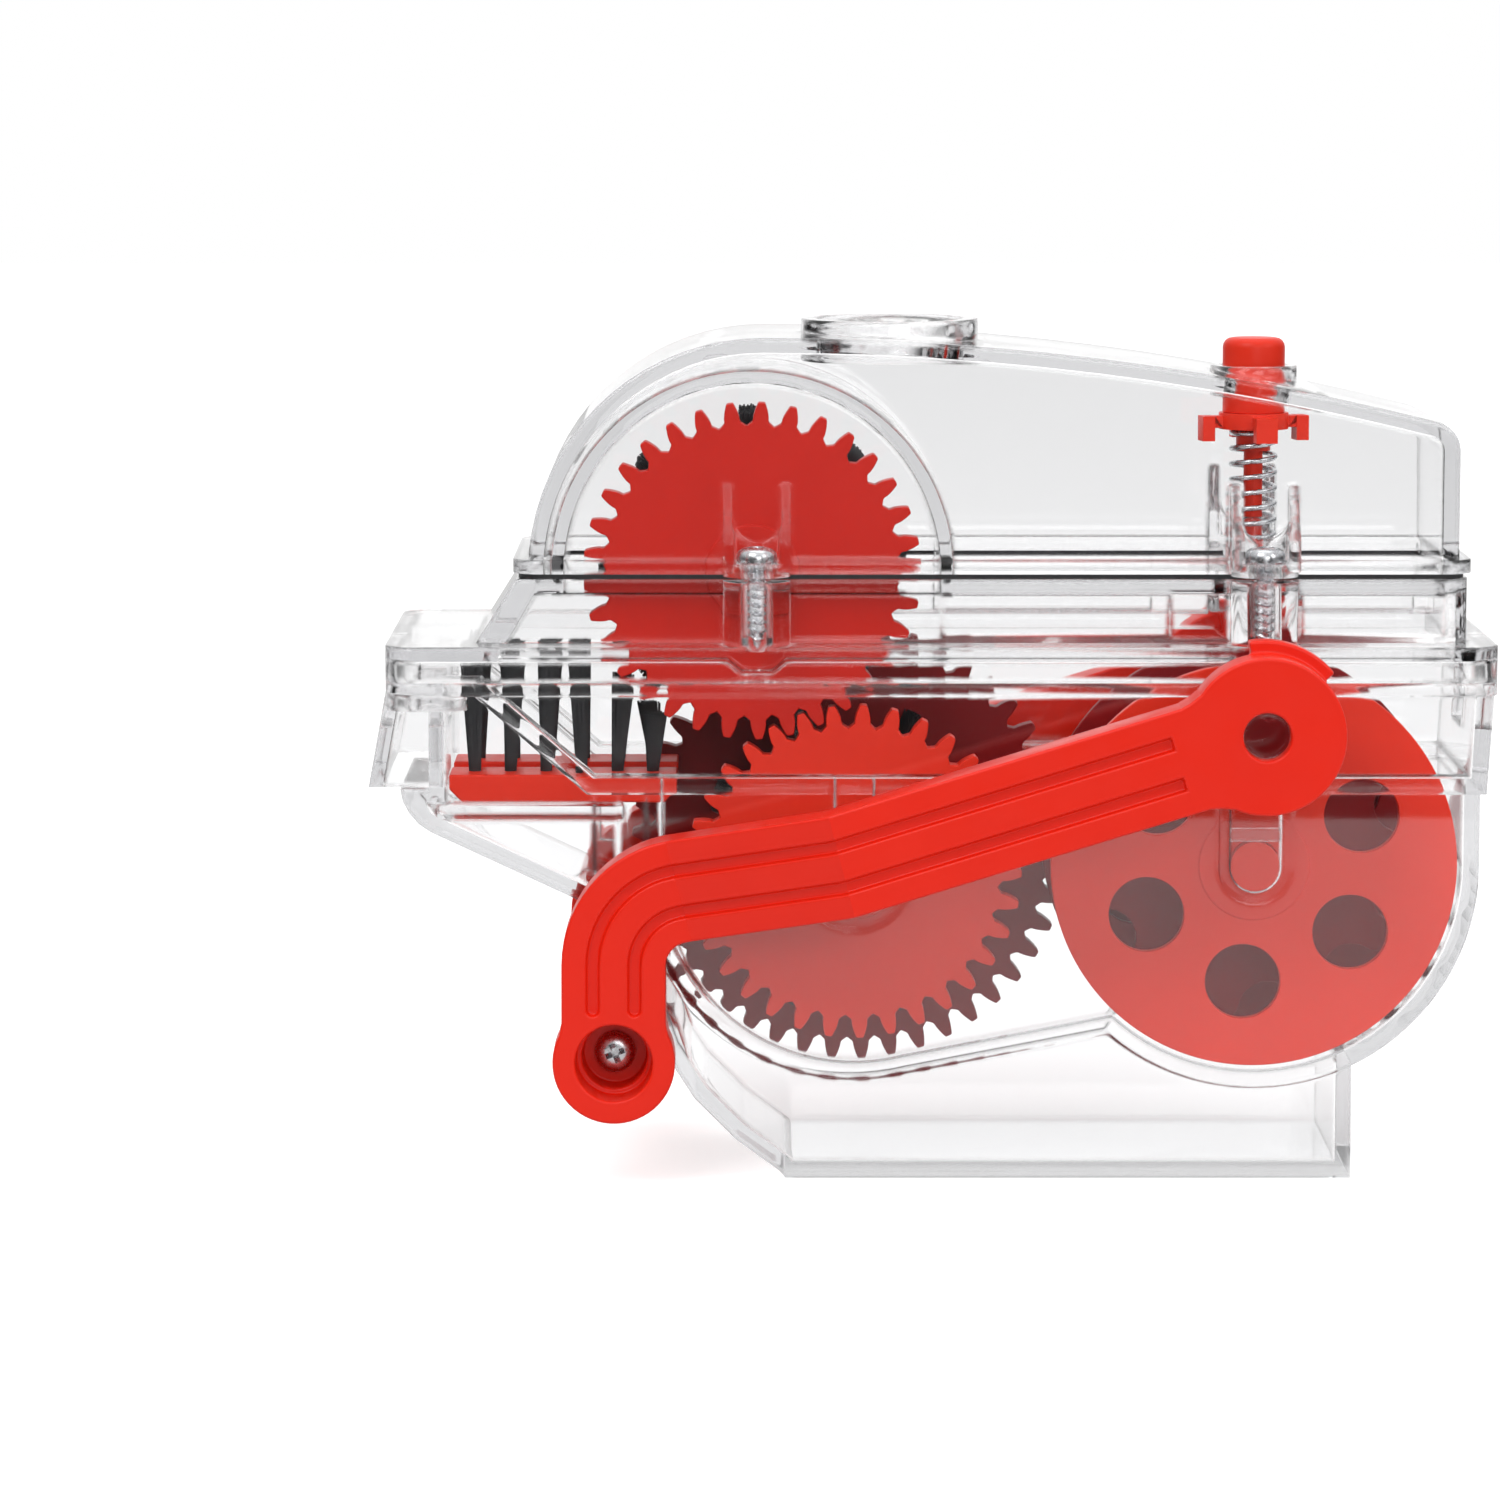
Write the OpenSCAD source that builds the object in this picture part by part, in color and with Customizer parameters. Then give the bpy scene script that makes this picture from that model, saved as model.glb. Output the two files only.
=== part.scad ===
/* [Gears] */
// Module of every gear
gear_module = 1.3; // [1.26:0.01:1.31]
// Teeth of the two front gears that join the brushes
brush_teeth = 33; // [32:1:33]
// Teeth of the rear gear on the lower brush
rear_teeth = 45; // [43:1:45]
// Teeth of the gear behind the chain wheel
wheel_teeth = 38; // [36:1:38]
// Face width of a gear
gear_w = 3.2; // [2.6:0.1:3.6]
// Play between the flanks, measured on the pitch circle
tooth_slack = 0.4; // [0.3:0.05:0.5]
// Extra centre distance so that meshing gears run free
mesh_slack = 0.2; // [0.15:0.05:0.3]

/* [Axles] */
// Distance of the chain wheel axle to the right of the foot's centre
wheel_x = 25; // [24:0.5:26]
// Height of the chain wheel axle
wheel_z = 42.8; // [42:0.2:43.6]
// Height of the lower brush axle
lower_z = 41.8; // [41:0.2:42.6]
// Lean of the line that joins the two brush axles
upper_lean = 18.6; // [17:0.2:20]
// Radius of the three axle pins
axle_r = 3.4; // [2.8:0.1:3.6]
// Running clearance of a pin in its bearing, on the radius
axle_clear = 0.08; // [0.05:0.01:0.1]

/* [Brushes] */
// Radius of a brush drum
drum_r = 9; // [8:0.2:10]
// Radius at the bristle tips
tip_r = 21.1; // [20:0.1:21.2]
// Radius of one bristle strand
strand_r = 0.42; // [0.35:0.01:0.45]
// Width of the bristled band on a drum
band_w = 21; // [19:0.5:22]
// Gap between the inlet bristles and the middle frame over them
tuft_gap = 0.5; // [0.4:0.1:2]

/* [Chain wheel] */
// Radius of the two wheel discs
disc_r = 27.5; // [27:0.1:27.8]
// Thickness of a wheel disc
disc_t = 2; // [1.6:0.1:2.2]
// Radius of the round holes in the discs
hole_r = 5.1; // [4:0.1:5.4]
// Radius of the circle that the holes lie on
hole_circle_r = 16; // [15.8:0.1:17]
// Pitch of the bicycle chain
chain_pitch = 12.7; // [12.6:0.05:12.8]
// Teeth of the sprocket that the chain turns
sprocket_teeth = 11; // [11:1:11]
// Thickness of the sprocket's teeth
sprocket_t = 2.2; // [1.8:0.1:2.3]

/* [Reservoir] */
// Wall thickness of the clear mouldings
wall = 2; // [1.7:0.1:2.2]
// Length of the foot
foot_l = 76.8; // [74:0.4:78]
// Inside width of the gear chamber
chamber_w = 33; // [33:0.2:34]
// Gap between a turning rim and the chamber round it
rim_gap = 0.7; // [0.6:0.05:0.9]
// Gap between the lower front gear and the chamber round it
front_gap = 3.3; // [2.8:0.1:3.4]
// Reach of the sump to the left of the foot's centre
sump_reach = 90.4; // [89:0.2:91]
// Depth of the skirt under the parting line
skirt_h = 15.3; // [14.6:0.1:16]
// Outside width of the skirt
skirt_w = 46; // [44:0.5:47]
// Height where the top parts from the reservoir
parting_z = 68.6; // [68.4:0.1:69.4]
// Overhang of the rim past the sump at the chain inlet
rim_overhang = 1.6; // [1.2:0.1:2.4]
// Reach of the rim to the right of the foot's centre
rim_right = 56.8; // [56.4:0.1:58]
// Outside width of the rim
rim_w = 52; // [51.6:0.1:53]
// Width of the slots that the chain runs through
slot_w = 11; // [10:0.5:12]

/* [Top] */
// Height of the middle frame over its ledge
frame_h = 8.5; // [8.1:0.1:8.5]
// Reach of the cover to the right of the foot's centre
cover_right = 51.9; // [51:0.1:52.4]
// Thickness of the gasket
gasket_t = 0.7; // [0.5:0.1:0.7]
// Gap between the gear tips and the guard dome over them
guard_gap = 2.65; // [2:0.05:3]
// Room for liquid between the guard dome and the cover
tank_gap = 2.5; // [2:0.1:3]
// Drop of the cover's roof from left to right
roof_fall = 12; // [10:0.5:13]
// Distance of the filler to the left of the foot's centre
filler_x = 24.2; // [23:0.2:25]
// Bore radius of the filler collar
filler_r = 10.1; // [9:0.1:10.6]
// Height of the filler collar's rim
filler_z = 115.9; // [115.5:0.1:117]

/* [Valve] */
// Distance of the valve and the right screws from the foot's centre
valve_x = 25.6; // [25:0.1:26.2]
// Radius of the push button
button_r = 4.25; // [4:0.05:4.4]
// Travel of the push button
button_travel = 3.5; // [3:0.1:3.6]
// Radius of the valve stem
stem_r = 1.3; // [1.1:0.05:1.4]
// Outside radius of the valve spring
spring_r = 3.35; // [3.2:0.05:3.6]
// Radius of the spring wire
wire_r = 0.375; // [0.3:0.025:0.4]
// Whole turns of the valve spring
spring_turns = 8; // [6:1:9]

/* [Screws] */
// Distance of the left screws to the left of the foot's centre
screw_x = 42.3; // [41.5:0.1:43]
// Gap between a cover screw's head and the cover's wall
screw_gap = 0.25; // [0.2:0.05:0.4]
// Radius of a screw boss
boss_r = 4.5; // [4.2:0.1:4.7]
// Radius of a screw head
head_r = 2.75; // [2.5:0.05:2.9]
// Radius of a screw's thread
thread_r = 1.5; // [1.3:0.05:1.6]
// Length of a cover screw under its head
screw_l = 11.6; // [10:0.2:12]

/* [Handle] */
// Height of the handle's pivot
pivot_z = 62.6; // [62.2:0.1:63]
// Radius of the pivot pin
pivot_r = 3.1; // [2.6:0.1:3.4]
// Radius of the handle's hub
hub_r = 10.5; // [10:0.1:10.8]
// Thickness of a handle arm
arm_t = 7; // [6.4:0.1:7.4]
// Width of a handle arm
arm_w = 14; // [13:0.2:14.6]
// Gap between the rim and the hub beside it
hub_gap = 3; // [2.6:0.1:3.4]
// Gap between the chambers and the arm's grip end
grip_gap = 0.7; // [0.5:0.1:1.1]
// Distance of the grip to the left of the foot's centre
grip_x = 61.5; // [60.5:0.1:62]
// Height of the grip
grip_z = 17.3; // [16.5:0.1:18]
// Radius of the boss round the grip screw
grip_boss_r = 8.25; // [7.8:0.05:8.6]
// Radius of the recess for the grip screw
recess_r = 5.2; // [4.8:0.1:5.6]
// Width of the two grooves along an arm
groove_w = 1.7; // [1.4:0.1:2]
// Depth of the grooves
groove_d = 1; // [0.6:0.1:1.4]
// Radius of the cross grip
grip_r = 5; // [4.4:0.1:5.4]

/* [Hidden] */
$fn = 64;

// Colours
red = [0.87, 0.13, 0.09];
deep_red = [0.55, 0.07, 0.08];
clear = [0.88, 0.92, 0.94, 0.28];
black = [0.05, 0.05, 0.06];
steel = [0.72, 0.72, 0.74];

// Overrun of every cut past the face that it opens
cut = 1;
// Gap between moving pieces that pass each other
pass_gap = 0.4;
// Gap between pieces that are put together and stay there
seat_gap = 0.05;

// Gear sizes
pressure_angle = 17;
addendum_share = 1;
dedendum_share = 1.45;
brush_pitch_r = gear_module * brush_teeth / 2;
rear_pitch_r = gear_module * rear_teeth / 2;
wheel_pitch_r = gear_module * wheel_teeth / 2;
brush_tip_r = brush_pitch_r + addendum_share * gear_module;
rear_tip_r = rear_pitch_r + addendum_share * gear_module;

// Places of the axles
mesh_low = rear_pitch_r + wheel_pitch_r + mesh_slack;
mesh_up = 2 * brush_pitch_r + mesh_slack;
lower_lean = asin((wheel_z - lower_z) / mesh_low);
lower_x = wheel_x - mesh_low * cos(lower_lean);
upper_x = lower_x - mesh_up * sin(upper_lean);
upper_z = lower_z + mesh_up * cos(upper_lean);

// Depths, measured from the middle plane towards the back
chamber_y = chamber_w / 2;
gear_side = 1;
gear_front = -chamber_y + gear_side;
gear_back = gear_front + gear_w;
rear_front = chamber_y - gear_side - gear_w;
rear_back = chamber_y - gear_side;
disc_back = rear_front - pass_gap;
body_y = chamber_y + wall;
foot_y = body_y - 0.6 * wall;
skirt_y = skirt_w / 2;
rim_y = rim_w / 2;
frame_y = body_y + wall / 2;
cover_y = body_y;
screw_y = cover_y + head_r + screw_gap;
hub_y = rim_y + hub_gap + arm_t;
grip_y = body_y + grip_gap + arm_t;
pin_end_y = body_y - 0.5 * wall;

// Turns that put a tooth of one gear into a gap of the next, in degrees
mesh_low_angle = lower_lean;
mesh_up_angle = 90 + upper_lean;
rear_phase = mesh_low_angle;
wheel_gear_phase = 180 + mesh_low_angle + 180 / wheel_teeth;
front_phase = mesh_up_angle;
upper_phase = mesh_up_angle + 180 + 180 / brush_teeth;

// Chain line over the wheel
sprocket_pitch_r = chain_pitch / 2 / sin(180 / sprocket_teeth);
roller_r = 0.31 * chain_pitch;
chain_z = wheel_z + sprocket_pitch_r;
slot_low_z = chain_z - 0.36 * chain_pitch;
slot_high_z = chain_z + 0.47 * chain_pitch;

// Chamber radii
rear_chamber_r = rear_tip_r + rim_gap + wall;
front_chamber_r = brush_tip_r + front_gap + wall;
wheel_chamber_r = disc_r + rim_gap + wall;
guard_r = brush_tip_r + guard_gap;
guard_wall = 0.8 * wall;
dome_r = guard_r + guard_wall + tank_gap + wall;

// Heights of the top
flange_t = 0.9 * wall;
skirt_z = parting_z - skirt_h;
ledge_z = parting_z + 2.4 * wall;
frame_top_z = ledge_z + frame_h;
cover_z = frame_top_z + gasket_t;
seat_z = cover_z + flange_t;
roof_z = upper_z + dome_r;
floor_z = frame_top_z - wall;

// A solid with the outline of its children in the x and z plane, from depth y0 to y1
module slab(y0, y1) {
    translate([0, y1, 0]) rotate([90, 0, 0]) linear_extrude(y1 - y0) children();
}

// A round solid along y about the axis at x, z
module rod(x, z, r, y0, y1) {
    slab(y0, y1) translate([x, z]) circle(r);
}

// A plate in the x and y plane with round corners
module plate(x0, x1, half_w, r, z0, z1) {
    translate([0, 0, z0]) linear_extrude(z1 - z0) rounded(x0, x1, half_w, r);
}

module rounded(x0, x1, half_w, r) {
    union() {
        polygon([
            [x0, r - half_w], [x0 + r, -half_w], [x1 - r, -half_w], [x1, r - half_w],
            [x1, half_w - r], [x1 - r, half_w], [x0 + r, half_w], [x0, half_w - r]
        ]);
        for (x = [x0 + r, x1 - r], y = [r - half_w, half_w - r]) translate([x, y]) circle(r);
    }
}

// Front and rear copies of a piece that is drawn at the front
module both_sides() {
    children();
    mirror([0, 1, 0]) children();
}

// Points on an arc about c, from angle a0 to a1
function arc(c, r, a0, a1, n) = [for (i = [0 : n]) let (a = a0 + (a1 - a0) * i / n) c + polar(r, a)];
function polar(r, a) = r * [cos(a), sin(a)];

// An outline that turns left, with every side moved inwards by d
function unit(v) = v / norm(v);
function side_normal(p, q) = [p.y - q.y, q.x - p.x] / norm(q - p);
function mitre(a, b) = (a + b) / (1 + a * b);
function inset(p, d) = [
    for (i = [0 : len(p) - 1])
        let (before = p[(i + len(p) - 1) % len(p)], after = p[(i + 1) % len(p)])
        p[i] + d * mitre(side_normal(before, p[i]), side_normal(p[i], after))
];

// Sizes of the reservoir
rim_left = sump_reach + rim_overhang;
rim_corner = 2 * wall;
inlet_left = -sump_reach + 1.95 * wall;
block_z = skirt_z - 1.25 * wall;
skirt_left = lower_x - rear_chamber_r - 1.3 * wall;
skirt_slant_share = 1.14;
skirt_right = wheel_x + wheel_chamber_r + 0.15 * wall;
hood_y = foot_y + 1.3 * wall;
chin_shares = [[0.012, 0.1], [0.041, 0.19], [0.088, 0.28], [0.146, 0.345]];
foot_curve_shares = [[0.12, 0.28], [0.27, 0.47], [0.6, 0.74], [0.95, 0.95]];
sump_arc_start = 189.5;
sump_arc_end = 219;
blister_tangent = 79;
pin_gap = 0.2;
brush_pin_r = 0.77 * axle_r;

lower = [lower_x, lower_z];
upper = [upper_x, upper_z];
wheel = [wheel_x, wheel_z];

// Side outline of the sump and the foot, from the foot's right end round to the left,
// with the chin under the inlet rounded by the given points
function along(p, q, share) = [p.x + share.x * (q.x - p.x), p.y + share.y * (q.y - p.y)];
function sump_outline(chin) =
    let (
        curve = arc(lower, rear_chamber_r + 0.2 * wall, sump_arc_start, sump_arc_end, 6),
        corner = [-sump_reach, skirt_z],
        heel = [-foot_l / 2, 0]
    )
    concat(
        [[foot_l / 2, 0], [foot_l / 2, skirt_z], corner],
        [for (s = chin) along(corner, curve[0], s)],
        curve,
        [for (s = foot_curve_shares) along(curve[6], heel, s)],
        [heel]
    );

// Side outline of the wider skirt, up to the height top
function skirt_outline(top) = [
    [skirt_left, skirt_z],
    [skirt_right, skirt_z],
    [rim_right - 0.15 * wall, top],
    [skirt_left - skirt_slant_share * (top - skirt_z), top]
];

// Side outline of the splash hood over the chain inlet
function hood_outline(low) = [
    [-rim_left - 1.25 * wall, low],
    [inlet_left + wall, low],
    [inlet_left + wall, parting_z - 0.5 * wall],
    [-rim_left, parting_z - 0.5 * wall]
];

// The chamber round the wheel and round the lower brush, which has the radius r, up to the height top
module chamber_outline(r, d, top) {
    foot = lower + polar(r - d - 0.02 * wall, -blister_tangent);
    reach = wheel_x - 0.6 * wheel_chamber_r - foot.x;
    left = lower_x - r + d;
    right = wheel_x + wheel_chamber_r - d;
    intersection() {
        union() {
            translate(lower) circle(r - d);
            translate(wheel) circle(wheel_chamber_r - d);
            polygon([
                [left, lower_z], lower, foot, foot + [reach, reach * tan(90 - blister_tangent)],
                wheel, [right, wheel_z], [right, top], [left, top]
            ]);
        }
        translate([left - cut, 0]) square([right - left + 2 * cut, top]);
    }
}

// A slot with a round bottom about c, open upwards to the height top
module slot_outline(c, r, top) {
    translate(c) circle(r);
    translate([c.x - r, c.y]) square([2 * r, top - c.y]);
}

// One bearing slot: its outer rib and the blind groove for the pin's end
module bearing_groove(c, r) {
    slab(-pin_end_y - pin_gap, cut - chamber_y) slot_outline(c, r + axle_clear, skirt_z + wall + cut);
}

module lower_body() {
    color(clear) difference() {
        union() {
            slab(-foot_y, foot_y) polygon(sump_outline(chin_shares));
            slab(-body_y, 0) chamber_outline(front_chamber_r, 0, skirt_z + wall);
            slab(0, body_y) chamber_outline(rear_chamber_r, 0, skirt_z + wall);
            slab(-foot_y, foot_y) translate([inlet_left, block_z - wall])
                square([lower_x - inlet_left, parting_z - block_z + wall]);
            slab(-skirt_y, skirt_y) polygon(skirt_outline(parting_z));
            plate(-rim_left, rim_right, rim_y, rim_corner, parting_z - 0.9 * wall, parting_z);
            rim_end();
            splash_hood();
            both_sides() chute_post();
            both_sides() bearing_ribs();
            both_sides() pivot_pin();
        }
        slab(wall - foot_y, foot_y - wall)
            polygon(inset(sump_outline([chin_shares[2], chin_shares[3]]), wall));
        slab(-chamber_y, cut) chamber_outline(front_chamber_r, wall, skirt_z + wall + cut);
        slab(-cut, chamber_y) chamber_outline(rear_chamber_r, wall, skirt_z + wall + cut);
        slab(wall - foot_y, foot_y - wall) translate([inlet_left + wall, block_z - wall])
            square([lower_x - inlet_left - wall, parting_z - block_z + wall + cut]);
        slab(wall - skirt_y, skirt_y - wall) polygon(inset(skirt_outline(parting_z + 2 * wall), wall));
        both_sides() bearing_groove(wheel, axle_r);
        both_sides() bearing_groove(lower, brush_pin_r);
        chain_slot(-rim_left - 2 * wall, inlet_left + 3 * wall);
        chain_slot(skirt_right - 3 * wall, rim_right + cut);
    }
    color(clear) both_sides() inlet_rails();
}

module chain_slot(x0, x1) {
    translate([x0, -slot_w / 2, slot_low_z]) cube([x1 - x0, slot_w, parting_z + cut - slot_low_z]);
}

// The deep rounded end of the rim over the chain inlet
module rim_end() {
    inner_end = skirt_left - skirt_slant_share * (parting_z - skirt_z) + wall;
    difference() {
        plate(-rim_left, inner_end, rim_y, rim_corner, parting_z - 1.9 * wall, parting_z);
        plate(wall - rim_left, inner_end + rim_corner + cut, rim_y - wall, rim_corner - wall / 2,
              parting_z - 1.9 * wall - cut, parting_z - 0.9 * wall);
    }
}

module splash_hood() {
    low = skirt_z + 0.3 * wall;
    difference() {
        slab(-hood_y, hood_y) polygon(hood_outline(low));
        slab(0.7 * wall - hood_y, hood_y - 0.7 * wall)
            translate([0.7 * wall, -0.7 * wall - cut]) polygon(hood_outline(low));
    }
}

// The upright rib where the inlet chute meets the gear chamber
module chute_post() {
    slab(-body_y, cut - foot_y) translate([lower_x - rear_chamber_r - 0.9 * wall, lower_z])
        square([1.6 * wall, skirt_z + wall / 2 - lower_z]);
}

module bearing_ribs() {
    slab(-body_y - 0.6 * wall, cut - body_y)
        slot_outline(wheel, axle_r + axle_clear + 0.75 * wall, skirt_z + wall / 2);
    slab(-body_y - 0.3 * wall, cut - body_y) translate(lower) circle(brush_pin_r + 2.6 * wall);
}

module pivot_pin() {
    rod(wheel_x, pivot_z, pivot_r + 0.9 * wall, -hub_y + arm_t + pass_gap, -skirt_y + wall / 2);
    rod(wheel_x, pivot_z, pivot_r, -hub_y + 0.3 * arm_t, -hub_y + arm_t + cut);
}

module inlet_rails() {
    rail_end = lower_x - rear_tip_r - 2 * pass_gap;
    translate([inlet_left + wall / 2, -foot_y + wall / 2, block_z - 0.9 * wall])
        cube([rail_end - inlet_left - wall / 2, 3.6 * wall, 0.9 * wall]);
}

// Sizes of the inlet brush
block_left = inlet_left + wall + pass_gap;
block_right = lower_x - rear_tip_r + 3.3 * wall;
block_y = rear_front - 2 * pass_gap;
block_h = 1.9 * wall;
inlet_tuft_h = ledge_z - wall - tuft_gap - block_z - block_h;
block_chamfer = 0.9 * wall;
tuft_columns = 6;
tuft_pitch = (block_right - block_left) / (tuft_columns + 0.4);
tuft_r = 1.1 * wall / 2;

function tuft_x(i) = block_left + (i + 0.7) * tuft_pitch;
function tuft_top(x) =
    let (side = abs(x - upper_x), free_r = tip_r + 3 * tuft_r)
    side < free_r ? upper_z - sqrt(free_r * free_r - side * side) : block_z + block_h + inlet_tuft_h;

module inlet_brush_base() {
    color(red) difference() {
        slab(-block_y, block_y) polygon([
            [block_left + block_chamfer, block_z],
            [block_right - block_chamfer, block_z],
            [block_right, block_z + block_chamfer],
            [block_right, block_z + block_h],
            [block_left, block_z + block_h],
            [block_left, block_z + block_chamfer]
        ]);
        translate([block_left - cut, -slot_w / 4, block_z + block_h - wall / 2])
            cube([block_right - block_left + 2 * cut, slot_w / 2, wall]);
    }
}

module inlet_bristles() {
    top = block_z + block_h;
    color(black) for (side = [-1, 1]) {
        translate([block_left + tuft_pitch / 4, side * block_y * 0.62 - tuft_r - 2 * strand_r, top])
            cube([block_right - block_left - tuft_pitch / 2, 2 * tuft_r + 4 * strand_r, strand_r]);
        for (i = [0 : tuft_columns - 1]) translate([tuft_x(i), side * 0.62 * block_y, top + strand_r / 2]) {
            h = min(inlet_tuft_h, tuft_top(tuft_x(i)) - top);
            for (a = [-1 : 1], b = [-1 : 1])
                rotate([-4 * b, 3 * a, 0]) translate([0.8 * tuft_r * a, 0.8 * tuft_r * b, 0])
                    cylinder(h = h, r = strand_r, $fn = 3);
        }
    }
}

// A bar in a bearing groove, just above the pin
module keeper(c, r) {
    half = r + axle_clear - seat_gap;
    translate([c.x - half, -pin_end_y - pin_gap + seat_gap, c.y + r + axle_clear])
        cube([2 * half, pin_end_y + pin_gap - seat_gap - chamber_y, 0.9 * wall]);
}

module wheel_axle_keepers() {
    color(clear) both_sides() keeper(wheel, axle_r);
}

module brush_axle_keepers() {
    color(clear) both_sides() keeper(lower, brush_pin_r);
}

// Sizes of the middle frame
top_z = parting_z + seat_gap;
frame_right = cover_right + 0.7 * wall;
frame_left = upper_x - dome_r - 0.1 * wall;
frame_slant = 3 * wall;
window_d = 0.3 * wall;
window_low = ledge_z + 0.3 * wall;
tower_r = spring_r - 2 * wire_r - pin_gap;
tower_h = 3.5 * wall;
spring_seat_h = 1.5 * wall;

function frame_outline(d, low, high) = [
    [frame_left - frame_slant + 1.2 * d, low],
    [frame_right - d, low],
    [frame_right - d, high],
    [frame_left + 1.2 * d, high]
];

module screw_places() {
    for (x = [-screw_x, valve_x]) translate([x, -screw_y, 0]) children();
}

// A screw boss that stands against a wall whose outer face is at depth wall_y
module boss(z0, z1, wall_y) {
    translate([0, 0, z0]) linear_extrude(z1 - z0) union() {
        circle(boss_r);
        translate([-boss_r, 0]) square([2 * boss_r, screw_y - wall_y + wall / 2]);
    }
}

// The pointed lower end of a boss in the middle frame
module boss_end() {
    half = 0.98 * boss_r;
    slab(screw_y - rim_y + 0.1 * wall, 0.9 * boss_r) polygon([
        [half, ledge_z - wall / 2],
        [-half, ledge_z - wall / 2],
        [-half, ledge_z - 0.8 * wall],
        [-0.45 * half, ledge_z - 1.8 * wall],
        [0.45 * half, ledge_z - 1.8 * wall],
        [half, ledge_z - 0.8 * wall]
    ]);
}

module screw_hole(z0, z1) {
    translate([0, 0, z0]) cylinder(h = z1 - z0, r = thread_r + seat_gap);
}

module upper_bearing() {
    rod(upper_x, upper_z, brush_pin_r + axle_clear, -pin_end_y - pin_gap, pin_end_y + pin_gap);
}

module upper_body() {
    color(clear) difference() {
        union() {
            plate(-rim_left, rim_right, rim_y, rim_corner, top_z, ledge_z);
            intersection() {
                slab(-frame_y, frame_y) polygon(frame_outline(0, ledge_z - wall / 2, frame_top_z));
                plate(frame_left - frame_slant - wall, frame_right, frame_y, rim_corner,
                      top_z, frame_top_z);
            }
            both_sides() screw_places() boss(ledge_z - wall / 2, frame_top_z, frame_y);
            valve_tower();
        }
        plate(wall - rim_left, rim_right - wall, rim_y - wall, rim_corner - wall / 2,
              top_z - cut, ledge_z - wall);
        slab(wall - frame_y, frame_y - wall) polygon(frame_outline(wall, ledge_z - 2 * wall, floor_z));
        translate([upper_x - guard_r, -chamber_y, floor_z - cut])
            cube([2 * guard_r, chamber_w, wall + 2 * cut]);
        upper_bearing();
        both_sides() screw_places() screw_hole(ledge_z - 0.4 * wall, frame_top_z + cut);
        translate([valve_x, 0, floor_z - cut])
            cylinder(h = wall + tower_h + 2 * cut, r = stem_r + pin_gap);
        both_sides() window_recess(upper_x + guard_r, valve_x - boss_r - 4 * wall);
        both_sides() window_recess(valve_x + boss_r + 0.3 * wall, frame_right - 1.7 * wall);
        for (x = [-rim_left - cut, rim_right - wall - cut]) translate([x, -slot_w / 2, top_z - cut])
            cube([wall + 2 * cut, slot_w, slot_high_z - top_z + cut]);
    }
    color(clear) both_sides() screw_places() boss_end();
}

module valve_tower() {
    translate([valve_x, 0, floor_z + wall / 2]) {
        cylinder(h = wall / 2 + spring_seat_h, r = spring_r + 0.3 * wall);
        cylinder(h = wall / 2 + tower_h, r = tower_r);
    }
}

module window_recess(x0, x1) {
    translate([x0, -frame_y - cut, window_low])
        cube([x1 - x0, cut + window_d, frame_top_z - wall - window_low]);
}

module cover_gasket() {
    left = frame_left + 0.1 * wall;
    right = frame_right - 0.2 * wall;
    color(black) difference() {
        union() {
            difference() {
                plate(left, right, cover_y, rim_corner, frame_top_z, cover_z);
                plate(left + wall, right - wall, cover_y - wall, rim_corner - wall / 2,
                      frame_top_z - cut, cover_z + cut);
            }
            for (x = [upper_x - guard_r - guard_wall, upper_x + guard_r])
                translate([x, wall / 2 - cover_y, frame_top_z])
                    cube([guard_wall, 2 * cover_y - wall, gasket_t]);
        }
        upper_bearing();
    }
}

// Side outline of the cover with every side moved inwards by d, down to the height low
dome_c = upper + [0.7 * wall, 0];
roof_l = cover_right - dome_c.x;
roof_r = (roof_l * roof_l + roof_fall * roof_fall) / 2 / roof_fall;
corner_r = 2 * wall;
corner_lift = sqrt(pow(roof_r - corner_r, 2) - pow(roof_l - corner_r, 2));
corner_angle = acos((roof_l - corner_r) / (roof_r - corner_r));
function roof_at(x) = roof_z - roof_r + sqrt(roof_r * roof_r - pow(x - dome_c.x, 2));
function cover_outline(d, low) =
    let (roof_c = [dome_c.x, roof_z - roof_r])
    concat(
        [[cover_right - d, low]],
        arc(roof_c + [roof_l - corner_r, corner_lift], corner_r - d, 0, corner_angle, 6),
        arc(roof_c, roof_r - d, corner_angle, 90, 12),
        [for (i = [1 : 18]) dome_c + polar(dome_r - d, 90 + 5 * i)],
        [[dome_c.x - dome_r + d, low]]
    );

// Sizes of the collars on the cover
filler_wall = wall;
filler_low = guard_r + guard_wall + upper_z + 0.3 * wall;
button_clear = 0.25;
button_wall = 0.7 * wall;
button_rim_z = roof_at(valve_x) + 0.75 * wall;
button_z = button_rim_z + button_travel + 0.13 * wall;
prong_h = 5 * wall;
prong_t = 0.6 * wall;

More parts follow.
